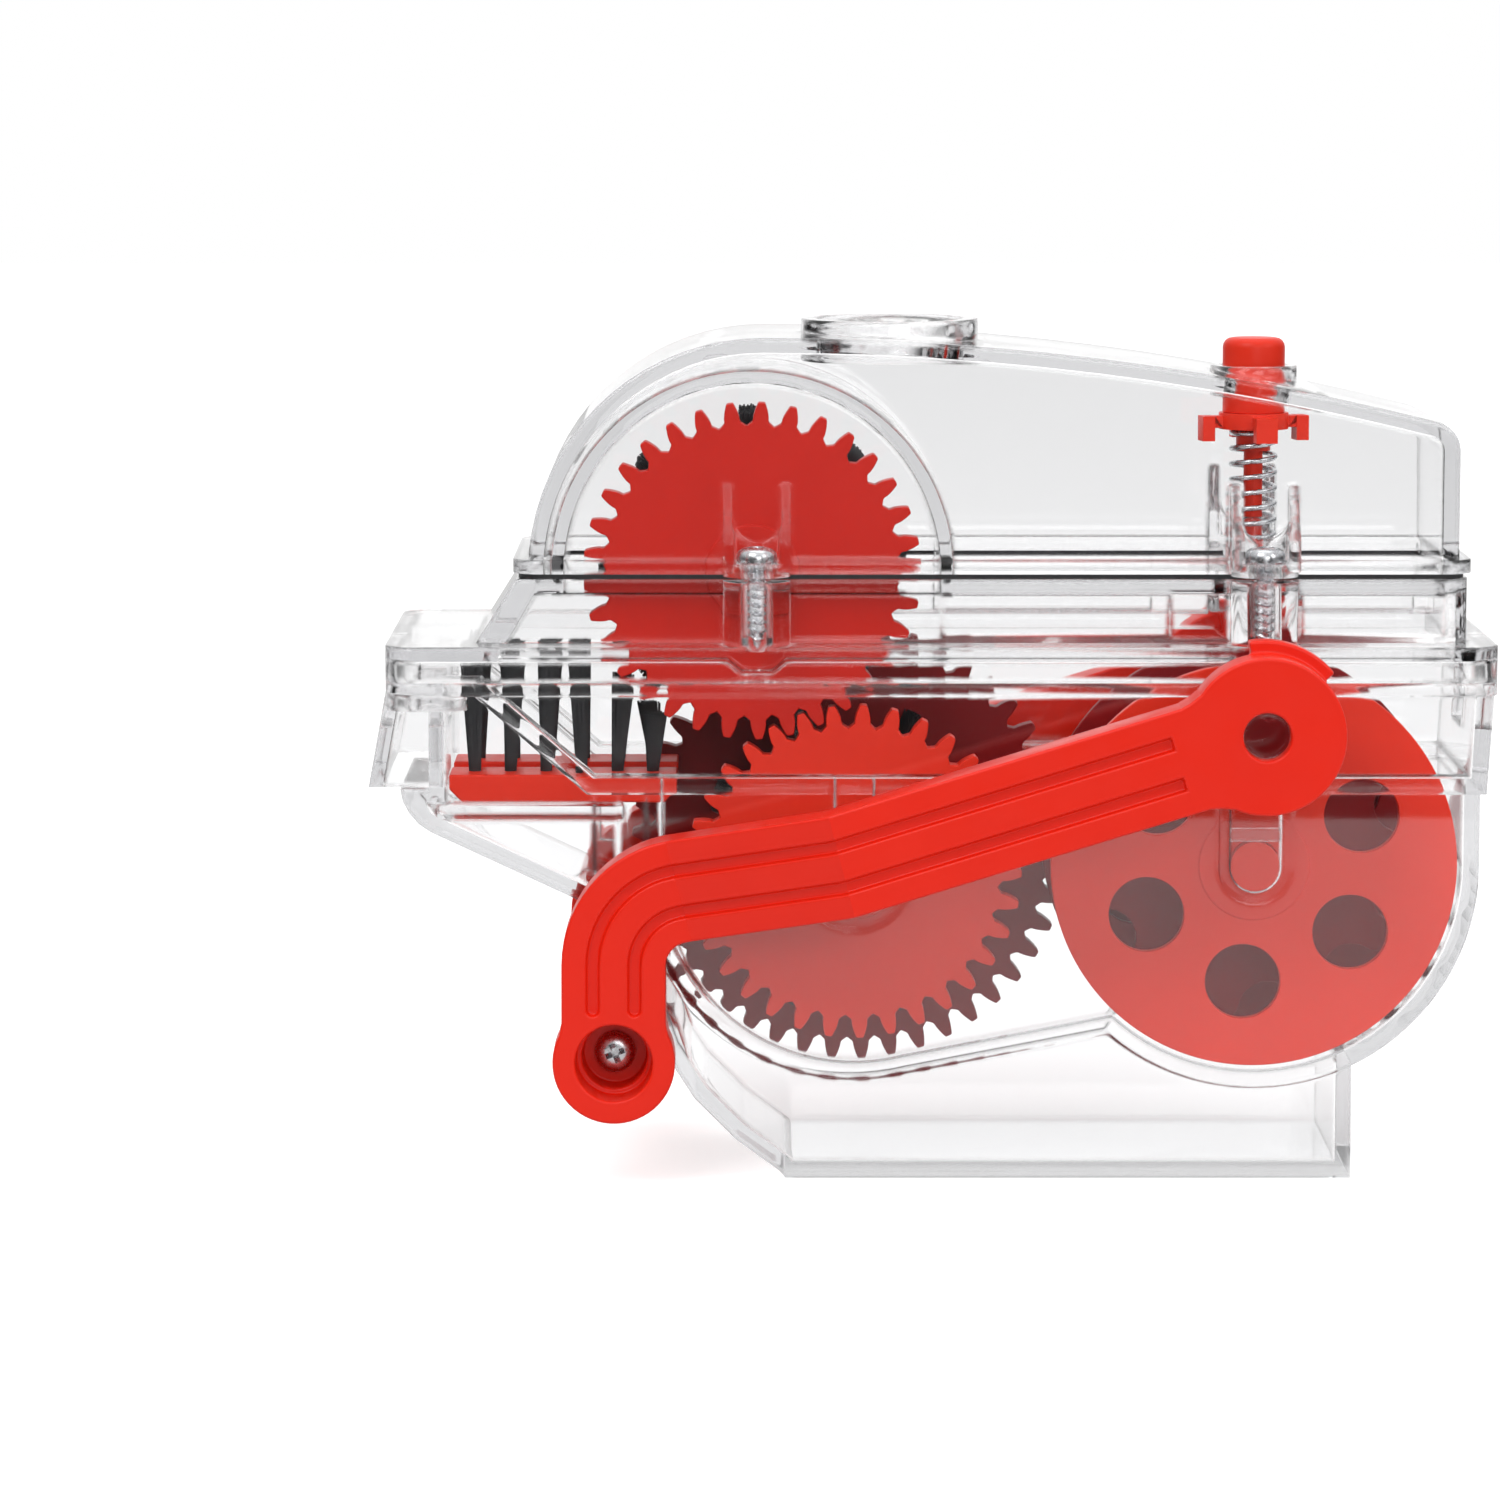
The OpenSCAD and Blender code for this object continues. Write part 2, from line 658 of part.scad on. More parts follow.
module top_cover() {
    color(clear) difference() {
        union() {
            difference() {
                union() {
                    slab(-cover_y, cover_y) polygon(cover_outline(0, cover_z));
                    plate(frame_left - wall / 4, frame_right + wall / 4, frame_y, rim_corner,
                          cover_z, seat_z);
                    both_sides() screw_places() boss(cover_z, seat_z, cover_y);
                }
                slab(wall - cover_y, cover_y - wall) polygon(cover_outline(wall, cover_z - cut));
            }
            guard_dome();
            both_sides() screw_places() prongs();
            translate([-filler_x, 0, filler_low])
                cylinder(h = filler_z - filler_low, r = filler_r + filler_wall);
            translate([valve_x, 0, button_rim_z - 2 * wall])
                cylinder(h = 2 * wall, r = button_r + button_clear + button_wall);
        }
        slab(-pin_end_y - pin_gap, pin_end_y + pin_gap) upper_saddle();
        both_sides() screw_places() screw_hole(cover_z - cut, seat_z + cut);
        translate([-filler_x, 0, filler_low - cut])
            cylinder(h = filler_z - filler_low + 2 * cut, r = filler_r);
        translate([valve_x, 0, button_rim_z - 3 * wall])
            cylinder(h = 3 * wall + cut, r = button_r + button_clear);
    }
}

// The upper half of the brush bearing, open downwards
module upper_saddle() {
    r = brush_pin_r + axle_clear;
    translate(upper) circle(r);
    translate([upper_x - r, cover_z - cut]) square([2 * r, upper_z - cover_z + cut]);
}

// The dome that keeps the tank apart from the upper brush
module guard_dome() {
    slab(wall / 2 - cover_y, cover_y - wall / 2) difference() {
        translate(upper) circle(guard_r + guard_wall);
        translate(upper) circle(guard_r);
        translate([upper_x - dome_r, cover_z - 2 * dome_r]) square(2 * dome_r);
    }
}

// Two pointed ribs that guide a screwdriver, with a round valley between them over the screw's head
module prongs() {
    deep = 0.8 * boss_r;
    back = screw_y - cover_y + wall / 2;
    valley_r = boss_r - prong_t;
    valley_z = seat_z + head_h + valley_r;
    head_room = head_r + 0.8 * screw_gap;
    difference() {
        translate([-boss_r, 0, seat_z - wall / 2]) rotate([90, 0, 90]) linear_extrude(2 * boss_r)
            polygon([
                [-deep, 0],
                [back, 0],
                [back, prong_h + wall / 2],
                [back - wall, prong_h + wall / 2],
                [-deep, 0.4 * prong_h]
            ]);
        slab(-2 * boss_r, 2 * boss_r) slot_outline([0, valley_z], valley_r, seat_z + prong_h + cut);
        translate([0, 0, seat_z]) cylinder(h = prong_h, r = head_room);
        translate([-head_room, -2 * boss_r, seat_z]) cube([2 * head_room, 2 * boss_r, prong_h]);
    }
}

// A pan-head screw that points down from its seat
head_h = 0.76 * head_r;
module pan_screw(l) {
    difference() {
        rotate_extrude() polygon([
            [0, -l],
            [thread_r / 4, -l],
            [thread_r, thread_r - l],
            [thread_r, 0],
            [head_r, 0],
            [head_r, head_h / 3],
            [0.9 * head_r, 0.75 * head_h],
            [0.6 * head_r, head_h],
            [0, head_h]
        ]);
        for (turn = [0, 90]) rotate(turn) translate([-head_r / 2, -head_r / 10, head_h / 2])
            cube([head_r, head_r / 5, head_h]);
    }
}

module cover_screws() {
    color(steel) both_sides() screw_places() translate([0, 0, seat_z]) pan_screw(screw_l);
}

// Sizes of the valve
spring_low = frame_top_z + spring_seat_h + seat_gap;
collar_top = button_z - 2.4 * button_r;
spring_high = collar_top - 1.1 * wall;
seal_top = floor_z - pin_gap;
seal_h = 1.1 * wall;
stem_low = seal_top - seal_h - wall / 2;

module plunger() {
    round_r = 0.3 * button_r;
    color(red) translate([valve_x, 0, 0]) rotate_extrude() polygon(concat(
        [[0, stem_low], [1.5 * stem_r, stem_low], [1.5 * stem_r, stem_low + wall / 2],
         [stem_r, stem_low + wall / 2], [stem_r, collar_top], [button_r, collar_top]],
        arc([button_r - round_r, button_z - round_r], round_r, 0, 90, 4),
        [[0, button_z]]
    ));
}

module plunger_collar() {
    foot_h = 0.8 * button_r;
    arm_l = 1.75 * button_r;
    low = spring_high - 0.7 * button_r;
    color(red) translate([valve_x, 0, 0]) difference() {
        union() {
            translate([0, 0, spring_high]) cylinder(h = collar_top - spring_high, r = 1.12 * button_r);
            translate([0, 0, low]) cylinder(h = spring_high - low + wall / 4, r = tower_r - seat_gap);
            for (turn = [10 : 90 : 280]) rotate(turn) {
                translate([button_r / 2, -0.3 * button_r, collar_top - wall])
                    cube([arm_l - button_r / 2, 0.6 * button_r, 0.8 * wall]);
                translate([arm_l - 0.4 * button_r, -0.35 * button_r, collar_top - 0.2 * wall - foot_h])
                    cube([0.4 * button_r, 0.7 * button_r, foot_h]);
            }
        }
        translate([0, 0, low - cut]) cylinder(h = collar_top - low + 2 * cut, r = stem_r + seat_gap);
    }
}

module valve_seal() {
    color(black) translate([valve_x, 0, 0]) rotate_extrude() polygon([
        [stem_r + seat_gap, stem_low + wall / 2],
        [1.9 * stem_r, stem_low + wall / 2],
        [3 * stem_r, seal_top - seal_h / 3],
        [3 * stem_r, seal_top],
        [stem_r + seat_gap, seal_top]
    ]);
}

// The valve spring: rings of points along a helix, joined into one tube
rings_per_turn = 8;
wire_sides = 6;
coil_r = spring_r - wire_r;
coil_low = spring_low + wire_r;
coil_h = spring_high - spring_low - 2 * wire_r - seat_gap;
ring_count = spring_turns * rings_per_turn;
function coil_point(i) =
    let (a = 360 * i / rings_per_turn)
    [coil_r * cos(a), coil_r * sin(a), coil_low + coil_h * i / ring_count];
function wire_ring(i) =
    let (
        a = 360 * i / rings_per_turn,
        out = [cos(a), sin(a), 0],
        ahead = unit([-sin(a), cos(a), coil_h / ring_count * rings_per_turn / 2 / PI / coil_r]),
        up = cross(ahead, -out)
    )
    [for (k = [0 : wire_sides - 1])
        coil_point(i) + wire_r * (cos(360 * k / wire_sides) * out + sin(360 * k / wire_sides) * up)];

module plunger_spring() {
    n = wire_sides;
    points = [for (i = [0 : ring_count]) each wire_ring(i)];
    sides = [for (i = [0 : ring_count - 1], k = [0 : n - 1], half = [0, 1])
        let (a = i * n + k, b = i * n + (k + 1) % n)
        half == 0 ? [a, a + n, b] : [b, a + n, b + n]];
    ends = [for (k = [1 : n - 2], end = [0, 1])
        end == 0 ? [0, k, k + 1] : [ring_count * n, ring_count * n + k + 1, ring_count * n + k]];
    color(steel) translate([valve_x, 0, 0]) polyhedron(points, concat(sides, ends));
}
half_turn = rings_per_turn / 2;
own_gap = min([for (i = [0 : ring_count - half_turn - 1], j = [i + half_turn : ring_count])
    norm(coil_point(i) - coil_point(j)) - 2 * wire_r]);
echo("least gap of the spring to itself", own_gap);

// Gear outline with involute flanks, a tooth centred at the angle phase
function involute(a) = tan(a) * 180 / PI - a;
function flank_angle(pitch_r, r) =
    let (base_r = pitch_r * cos(pressure_angle))
    r <= base_r ? 0 : involute(acos(base_r / r));
function half_tooth(pitch_r, teeth, r) =
    90 / teeth - tooth_slack / 4 / pitch_r * 180 / PI + involute(pressure_angle) - flank_angle(pitch_r, r);
flank_shares = [-0.95, -0.45, 0, 0.4, 0.75, 1];
function gear_outline(teeth, phase) =
    let (pitch_r = gear_module * teeth / 2, root_r = pitch_r - dedendum_share * gear_module)
    [for (k = [0 : teeth - 1]) let (a = phase + 360 * k / teeth) each concat(
        [polar(root_r, a - 180 / teeth)],
        [for (i = [0 : 5]) let (r = pitch_r + flank_shares[i] * gear_module)
            polar(r, a - half_tooth(pitch_r, teeth, r))],
        [for (i = [5 : -1 : 0]) let (r = pitch_r + flank_shares[i] * gear_module)
            polar(r, a + half_tooth(pitch_r, teeth, r))]
    )];

module gear(c, teeth, phase, bore_r, y0, y1) {
    slab(y0, y1) difference() {
        translate(c) polygon(gear_outline(teeth, phase));
        translate(c) circle(bore_r + seat_gap);
    }
}

// A front gear with a low round hub on the side that faces out
module front_gear(c, phase) {
    difference() {
        union() {
            slab(gear_front, gear_back) translate(c) polygon(gear_outline(brush_teeth, phase));
            rod(c.x, c.y, 0.7 * drum_r, gear_front - gear_side / 2, gear_front + gear_w / 2);
        }
        rod(c.x, c.y, brush_pin_r + seat_gap, gear_front - gear_side, gear_back + cut);
    }
}

module drum(c, y0, y1) {
    slab(y0, y1) translate(c) difference() {
        circle(drum_r);
        circle(brush_pin_r + seat_gap);
    }
}

// Eight rows of bristles that stand out from a thin sleeve on the drum
tuft_rows = 8;
row_stations = 11;
sleeve_t = 0.4 * wall;
strand_lean = 1.2;
module bristle_drum(c, phase) {
    strand_low = drum_r + sleeve_t / 2;
    translate([c.x, 0, c.y]) {
        slab(-band_w / 2, band_w / 2) difference() {
            circle(drum_r + sleeve_t);
            circle(drum_r + seat_gap);
        }
        for (row = [0 : tuft_rows - 1], k = [0 : row_stations - 1], side = [-1, 1]) {
            y = (k / (row_stations - 1) - 0.5) * (band_w - 4 * strand_r);
            rotate([0, -phase - 360 * row / tuft_rows - strand_lean * side, 0])
                translate([strand_low, y, 1.4 * strand_r * side])
                    rotate([0, 90, 0])
                        cylinder(h = tip_r - strand_low - strand_r / 2, r = strand_r, $fn = 3);
        }
    }
}

module upper_gear() {
    color(red) front_gear(upper, upper_phase);
}
module upper_brush_core() {
    color(deep_red) drum(upper, gear_back, rear_back);
}
module upper_bristles() {
    color(black) bristle_drum(upper, 1);
}
module upper_axle() {
    color(red) rod(upper_x, upper_z, brush_pin_r, -pin_end_y, pin_end_y);
}
module lower_front_gear() {
    color(red) front_gear(lower, front_phase);
}
module lower_rear_gear() {
    color(deep_red) gear(lower, rear_teeth, rear_phase, brush_pin_r, rear_front, rear_back);
}
module lower_brush_core() {
    color(deep_red) drum(lower, gear_back, rear_front);
}
module lower_bristles() {
    color(black) bristle_drum(lower, 20);
}
module lower_axle() {
    color(red) rod(lower_x, lower_z, brush_pin_r, -pin_end_y, pin_end_y);
}

// One disc of the chain wheel, with six round holes and a low ring on the side that faces out
hole_count = 6;
hole_phase = 25;
module wheel_disc(y0, ring_y0, ring_y1) {
    difference() {
        union() {
            rod(wheel_x, wheel_z, disc_r, y0, y0 + disc_t);
            rod(wheel_x, wheel_z, 2.2 * axle_r, ring_y0, ring_y1);
        }
        rod(wheel_x, wheel_z, axle_r + seat_gap, y0 - cut, y0 + disc_t + cut);
        for (k = [0 : hole_count - 1])
            rod(wheel_x + hole_circle_r * cos(hole_phase + 360 * k / hole_count),
                wheel_z + hole_circle_r * sin(hole_phase + 360 * k / hole_count),
                hole_r, y0 - cut, y0 + disc_t + cut);
    }
}
module wheel_front_disc() {
    color(red) wheel_disc(gear_front, gear_front - disc_t / 6, gear_front + disc_t / 2);
}
module wheel_rear_disc() {
    color(deep_red) wheel_disc(disc_back - disc_t, disc_back - disc_t / 2, disc_back);
}

// The sprocket's outline: round seats for the rollers and narrow teeth between them
seat_half_angle = 80;
tooth_tip_angle = 2;
function sprocket_outline() = [for (k = [0 : sprocket_teeth - 1])
    let (
        a = 360 * k / sprocket_teeth,
        seat_a = a + 180 / sprocket_teeth,
        seat = polar(sprocket_pitch_r, seat_a),
        tooth_r = sprocket_pitch_r + 0.22 * chain_pitch
    )
    each concat(
        [polar(tooth_r, a - tooth_tip_angle), polar(tooth_r, a + tooth_tip_angle)],
        arc(seat, 1.02 * roller_r, seat_a + 180 + seat_half_angle, seat_a + 180 - seat_half_angle, 8)
    )];
module wheel_sprocket() {
    hub_r = 0.6 * (hole_circle_r - hole_r) + axle_r / 2;
    color(deep_red) difference() {
        union() {
            slab(-sprocket_t / 2, sprocket_t / 2) translate(wheel) polygon(sprocket_outline());
            rod(wheel_x, wheel_z, hub_r, gear_front + disc_t, disc_back - disc_t);
        }
        rod(wheel_x, wheel_z, axle_r + seat_gap, gear_front, disc_back);
    }
}
module wheel_gear() {
    color(deep_red) gear(wheel, wheel_teeth, wheel_gear_phase, axle_r, rear_front, rear_back);
}
module wheel_axle() {
    color(red) rod(wheel_x, wheel_z, axle_r, -pin_end_y, pin_end_y);
}

// Centre line of a handle arm: hub, bend, round curve, grip
bend_shares = [0.744, 0.545];
curve_r = 0.73 * arm_w;
neck_l = 1.6 * grip_boss_r;
hub = [wheel_x, pivot_z];
curve = [curve_r - grip_x, grip_z + neck_l];
bend = [hub.x + bend_shares.x * (curve.x - hub.x), hub.y + bend_shares.y * (curve.y - hub.y)];
to_bend = bend - curve;
curve_start = atan2(to_bend.y, to_bend.x) + acos(curve_r / norm(to_bend));
curve_top = curve + polar(curve_r, curve_start);
arm_tilt = (atan2((hub - bend).y, (hub - bend).x) + curve_start - 90) / 2;
jog_l = norm(bend - curve_top);
arm_far = 8 * arm_w;
recess_d = 1.45 * arm_t;
boss_floor = 0.3 * arm_t;
inner_boss_r = recess_r + 0.2 * wall;
deep_recess_r = recess_r - 0.4 * wall;
boss_end_y = grip_y - recess_d - boss_floor;

// One side of the centre line moved outwards by d, from a on its first straight to the height low
function outward(p, q) = [q.y - p.y, p.x - q.x] / norm(q - p);
function arm_side(a, d, low) = concat(
    [a + d * outward(hub, bend), bend + d * mitre(outward(hub, bend), outward(bend, curve_top))],
    arc(curve, curve_r + d, curve_start, 180, 14),
    [[curve.x - curve_r - d, low]]
);

// A band of width w along the centre line, with its middle moved outwards by d
module arm_band(a, w, d, low) {
    near = arm_side(a, d - w / 2, low);
    polygon(concat(arm_side(a, d + w / 2, low), [for (i = [len(near) - 1 : -1 : 0]) near[i]]));
}

// The depth of an arm: straight at the hub, stepping in over the jog, straight at the grip
module arm_depth(y0, y1) {
    step = hub_y - grip_y;
    translate([bend.x, 0, bend.y]) rotate([0, -arm_tilt, 0]) translate([0.1 * arm_t, 0, -arm_far])
        linear_extrude(2 * arm_far) polygon([
            [-arm_far, y0 + step], [-jog_l, y0 + step], [0, y0], [arm_far, y0],
            [arm_far, y1], [0, y1], [-jog_l, y1 + step], [-arm_far, y1 + step]
        ]);
}

// A fillet of radius f between a circle about c and a band of width w that leaves c along dir
module arm_fillet(c, r, dir, side, w, f) {
    n = side * [-dir.y, dir.x];
    reach = sqrt(pow(r + f, 2) - pow(w / 2 + f, 2));
    m = c + reach * dir + (w / 2 + f) * n;
    a0 = atan2(c.y - m.y, c.x - m.x);
    turn = (atan2(-n.y, -n.x) - a0 + 540) % 360 - 180;
    polygon(concat(
        [c, c + 0.97 * r * unit(m - c)],
        arc(m, f, a0 + 0.25 * turn, a0 + 0.75 * turn, 4),
        [c + reach * dir + 0.47 * w * n, c + reach * dir]
    ));
}

module handle_arm() {
    groove_start = hub + (hub_r + groove_w) * unit(bend - hub);
    difference() {
        union() {
            intersection() {
                slab(-hub_y, 0) union() {
                    arm_band(hub, arm_w, 0, grip_z + 0.1 * grip_boss_r);
                    translate(hub) circle(hub_r);
                    translate([-grip_x, grip_z]) circle(grip_boss_r);
                    for (side = [-1, 1]) {
                        arm_fillet(hub, hub_r, unit(bend - hub), side, arm_w, 0.75 * hub_r);
                        arm_fillet([-grip_x, grip_z], grip_boss_r, [0, 1], side, arm_w, 0.9 * grip_boss_r);
                    }
                }
                arm_depth(-hub_y, arm_t - hub_y);
            }
            rod(-grip_x, grip_z, inner_boss_r, -grip_y + arm_t / 2, -boss_end_y);
            lock_cam();
        }
        intersection() {
            slab(-hub_y - cut, 0) union() {
                for (d = [-0.2 * arm_w, 0.2 * arm_w]) {
                    arm_band(groove_start, groove_w, d, grip_z + 0.88 * grip_boss_r);
                    translate([curve.x - curve_r - d, grip_z + 0.88 * grip_boss_r]) circle(groove_w / 2);
                }
            }
            arm_depth(-hub_y - cut, groove_d - hub_y);
        }
        rod(wheel_x, pivot_z, pivot_r + axle_clear, -hub_y - cut, arm_t - hub_y + cut);
        rod(-grip_x, grip_z, recess_r, -grip_y - cut, 0.8 * arm_t - grip_y);
        rod(-grip_x, grip_z, deep_recess_r, -grip_y - cut, recess_d - grip_y);
        rod(-grip_x, grip_z, thread_r + seat_gap, -grip_y, cut - boss_end_y);
    }
}

// The cam on the inner side of the hub that presses the rims together
module lock_cam() {
    slab(arm_t - hub_y - cut, -rim_y - pass_gap) intersection() {
        translate(hub) difference() {
            circle(1.16 * hub_r);
            circle(pivot_r + 2 * wall);
        }
        polygon([hub, hub + polar(2 * hub_r, 40), hub + polar(2 * hub_r, 70), hub + polar(2 * hub_r, 100)]);
    }
}

module handle_front_arm() {
    color(red) handle_arm();
}
module handle_rear_arm() {
    color(red) mirror([0, 1, 0]) handle_arm();
}
module handle_grip() {
    pilot_l = 3 * head_r;
    color(red) difference() {
        rod(-grip_x, grip_z, grip_r, -boss_end_y, boss_end_y);
        both_sides() rod(-grip_x, grip_z, thread_r + seat_gap, -boss_end_y - cut, pilot_l - boss_end_y);
    }
}
module grip_screws() {
    color(steel) both_sides() translate([-grip_x, recess_d - grip_y, grip_z]) rotate([90, 0, 0])
        pan_screw(boss_floor + 2.5 * head_r);
}

lower_body();
inlet_brush_base();
inlet_bristles();
wheel_axle_keepers();
brush_axle_keepers();
upper_body();
cover_gasket();
top_cover();
cover_screws();
plunger();
plunger_collar();
plunger_spring();
valve_seal();
upper_gear();
upper_brush_core();
upper_bristles();
upper_axle();
lower_front_gear();
lower_rear_gear();
lower_brush_core();
lower_bristles();
lower_axle();
wheel_front_disc();
wheel_rear_disc();
wheel_sprocket();
wheel_gear();
wheel_axle();
handle_front_arm();
handle_rear_arm();
handle_grip();
grip_screws();
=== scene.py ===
import math
import random

import bmesh
import bpy
from mathutils import Matrix, Vector


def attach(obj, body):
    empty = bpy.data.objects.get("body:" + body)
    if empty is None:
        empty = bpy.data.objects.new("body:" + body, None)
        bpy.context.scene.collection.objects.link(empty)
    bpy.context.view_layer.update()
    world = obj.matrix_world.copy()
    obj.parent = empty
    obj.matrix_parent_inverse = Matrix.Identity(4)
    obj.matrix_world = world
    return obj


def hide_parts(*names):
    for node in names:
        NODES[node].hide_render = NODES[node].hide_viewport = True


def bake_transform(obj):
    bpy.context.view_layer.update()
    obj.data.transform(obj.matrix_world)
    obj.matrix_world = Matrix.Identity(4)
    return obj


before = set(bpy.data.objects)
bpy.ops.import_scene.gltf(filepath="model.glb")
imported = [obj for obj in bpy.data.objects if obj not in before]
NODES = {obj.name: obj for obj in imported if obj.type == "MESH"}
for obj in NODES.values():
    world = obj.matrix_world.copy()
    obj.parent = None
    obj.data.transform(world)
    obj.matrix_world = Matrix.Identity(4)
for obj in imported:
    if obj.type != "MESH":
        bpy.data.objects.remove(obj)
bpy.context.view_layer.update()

MM = 0.001
SCENE = bpy.context.scene


# Camera: the photograph's long lens, a little above the object, aimed at half its height
CAMERA_PLACE = Vector((-43.2, -825.5, 159.3)) * MM
CAMERA_TILT = math.radians(90 - 7.1)
CAMERA_LENS = 145.0
SENSOR_WIDTH = 36
NEAR_CLIP = 0.01

camera = bpy.data.objects.new("camera", bpy.data.cameras.new("camera"))
SCENE.collection.objects.link(camera)
camera.location = CAMERA_PLACE
camera.rotation_euler = (CAMERA_TILT, 0, 0)
camera.data.lens = CAMERA_LENS
camera.data.sensor_width = SENSOR_WIDTH
camera.data.sensor_fit = "HORIZONTAL"
camera.data.clip_start = NEAR_CLIP
SCENE.camera = camera


# Materials
def new_material(name):
    material = bpy.data.materials.new(name)
    material.use_nodes = True
    tree = material.node_tree
    tree.nodes.clear()
    return material, tree


def add_node(tree, kind, inputs=None, **settings):
    """A shader node whose inputs are given as values or as other nodes' outputs."""
    node = tree.nodes.new(kind)
    for key, value in settings.items():
        setattr(node, key, value)
    for key, value in (inputs or {}).items():
        if isinstance(value, bpy.types.NodeSocket):
            tree.links.new(value, node.inputs[key])
        else:
            node.inputs[key].default_value = value
    return node


def noise(tree, scale, detail=3.0):
    place = add_node(tree, "ShaderNodeTexCoord").outputs["Object"]
    return add_node(tree, "ShaderNodeTexNoise", {
        "Vector": place, "Scale": scale, "Detail": detail,
    }).outputs["Fac"]


def map_range(tree, value, source, target):
    return add_node(tree, "ShaderNodeMapRange", {
        "Value": value,
        "From Min": source[0], "From Max": source[1],
        "To Min": target[0], "To Max": target[1],
    }).outputs["Result"]


NOISE_SPAN = (0.3, 0.7)


def spread(tree, value, low, high):
    """Stretches the middle of a noise over a range."""
    return map_range(tree, value, NOISE_SPAN, (low, high))


def blend_colours(tree, share, first, second):
    mix = add_node(tree, "ShaderNodeMix", data_type="RGBA")
    tree.links.new(share, mix.inputs["Factor"])
    mix.inputs["A"].default_value = (*first, 1)
    mix.inputs["B"].default_value = (*second, 1)
    return mix.outputs["Result"]


def mix_shaders(tree, share, first, second):
    return add_node(tree, "ShaderNodeMixShader", {0: share, 1: first, 2: second}).outputs["Shader"]


def bump(tree, height, strength, distance):
    return add_node(tree, "ShaderNodeBump", {
        "Height": height, "Strength": strength, "Distance": distance,
    }).outputs["Normal"]


def output(tree, surface, volume=None):
    end = add_node(tree, "ShaderNodeOutputMaterial", {"Surface": surface})
    if volume is not None:
        tree.links.new(volume, end.inputs["Volume"])


GLOSS_SPREAD = 0.06
GRAIN_STRENGTH = 0.15
GRAIN_DEPTH = 0.04 * MM


def moulded_plastic(name, colour, shade, roughness, specular, coat=0.0):
    """Solid-coloured moulded plastic: a faint cloudiness, uneven gloss and a fine skin."""
    material, tree = new_material(name)
    cloud = noise(tree, 90.0, 4.0)
    haze = noise(tree, 240.0, 5.0)
    fine = noise(tree, 1800.0, 2.0)
    shader = add_node(tree, "ShaderNodeBsdfPrincipled", {
        "Base Color": blend_colours(tree, cloud, shade, colour),
        "Roughness": spread(tree, haze, roughness - GLOSS_SPREAD, roughness + GLOSS_SPREAD),
        "Normal": bump(tree, fine, GRAIN_STRENGTH, GRAIN_DEPTH),
        "IOR": 1.5,
        "Specular IOR Level": specular,
        "Subsurface Weight": 0.05,
        "Subsurface Scale": 0.8 * MM,
        "Subsurface Radius": (1.0, 0.2, 0.1),
        "Coat Weight": coat,
        "Coat Roughness": 0.25,
    })
    output(tree, shader.outputs["BSDF"])
    return material


WAVE_STRENGTH = 0.06
WAVE_DEPTH = 0.5 * MM
SOFT_EDGE = 1.1 * MM
SOFT_EDGE_SAMPLES = 8
DEPTH_COLOUR = (0.5, 0.5, 0.52)
DEPTH_DENSITY = 20.0


def clear_plastic(name, tint, roughness):
    """Clear moulded plastic that bends light, with faint flow waves, and lets lamps through."""
    material, tree = new_material(name)
    wave = bump(tree, noise(tree, 35.0, 1.0), WAVE_STRENGTH, WAVE_DEPTH)
    soft_edge = add_node(tree, "ShaderNodeBevel", {
        "Radius": SOFT_EDGE, "Normal": wave,
    }, samples=SOFT_EDGE_SAMPLES).outputs["Normal"]
    shader = add_node(tree, "ShaderNodeBsdfPrincipled", {
        "Base Color": (*tint, 1),
        "Roughness": spread(tree, noise(tree, 120.0, 4.0), roughness * 0.5, roughness * 2),
        "IOR": 1.49,
        "Transmission Weight": 1.0,
        "Normal": soft_edge,
    })
    lamps = add_node(tree, "ShaderNodeBsdfTransparent", {"Color": (*tint, 1)})
    shadow = add_node(tree, "ShaderNodeLightPath").outputs["Is Shadow Ray"]
    depth = add_node(tree, "ShaderNodeVolumeAbsorption", {
        "Color": (*DEPTH_COLOUR, 1), "Density": DEPTH_DENSITY,
    })
    output(tree, mix_shaders(tree, shadow, shader.outputs["BSDF"], lamps.outputs["BSDF"]),
           depth.outputs["Volume"])
    return material


def speckled(name, tones, tone_noise, gloss, gloss_noise, skin=None, metallic=0.0):
    """A finish whose tone and gloss vary over it, with a bumped skin where it has one."""
    material, tree = new_material(name)
    inputs = {
        "Base Color": blend_colours(tree, noise(tree, *tone_noise), *tones),
        "Metallic": metallic,
        "Roughness": spread(tree, noise(tree, *gloss_noise), *gloss),
    }
    if skin:
        scale, strength, distance = skin
        inputs["Normal"] = bump(tree, noise(tree, scale), strength, distance)
    output(tree, add_node(tree, "ShaderNodeBsdfPrincipled", inputs).outputs["BSDF"])
    return material


CLEAR_TINT = (0.985, 0.985, 0.988)
RED = (0.76, 0.030, 0.010)
RED_SHADE = (0.68, 0.024, 0.008)
# Painted shade: the upper gear gets a darker copy of the gear red, standing in for the shade it
# sits in
UPPER_GEAR_SHADED_RED = (0.57, 0.014, 0.006)
UPPER_GEAR_SHADED_CLOUD = (0.50, 0.012, 0.005)
# Painted shade: the same red for the rear gear, rear disc, wheel gear, brush cores and sprocket,
# darkened for the shade they sit in
REAR_SHADED_RED = (0.24, 0.004, 0.006)
REAR_SHADED_CLOUD = (0.19, 0.003, 0.005)
ORANGE_RED = (0.80, 0.018, 0.004)
ORANGE_SHADE = (0.73, 0.014, 0.003)
NYLON_TONES = ((0.004, 0.004, 0.005), (0.016, 0.017, 0.02))
RUBBER_TONES = ((0.006, 0.006, 0.007), (0.018, 0.018, 0.02))
STEEL_TONES = ((0.42, 0.43, 0.45), (0.75, 0.76, 0.78))

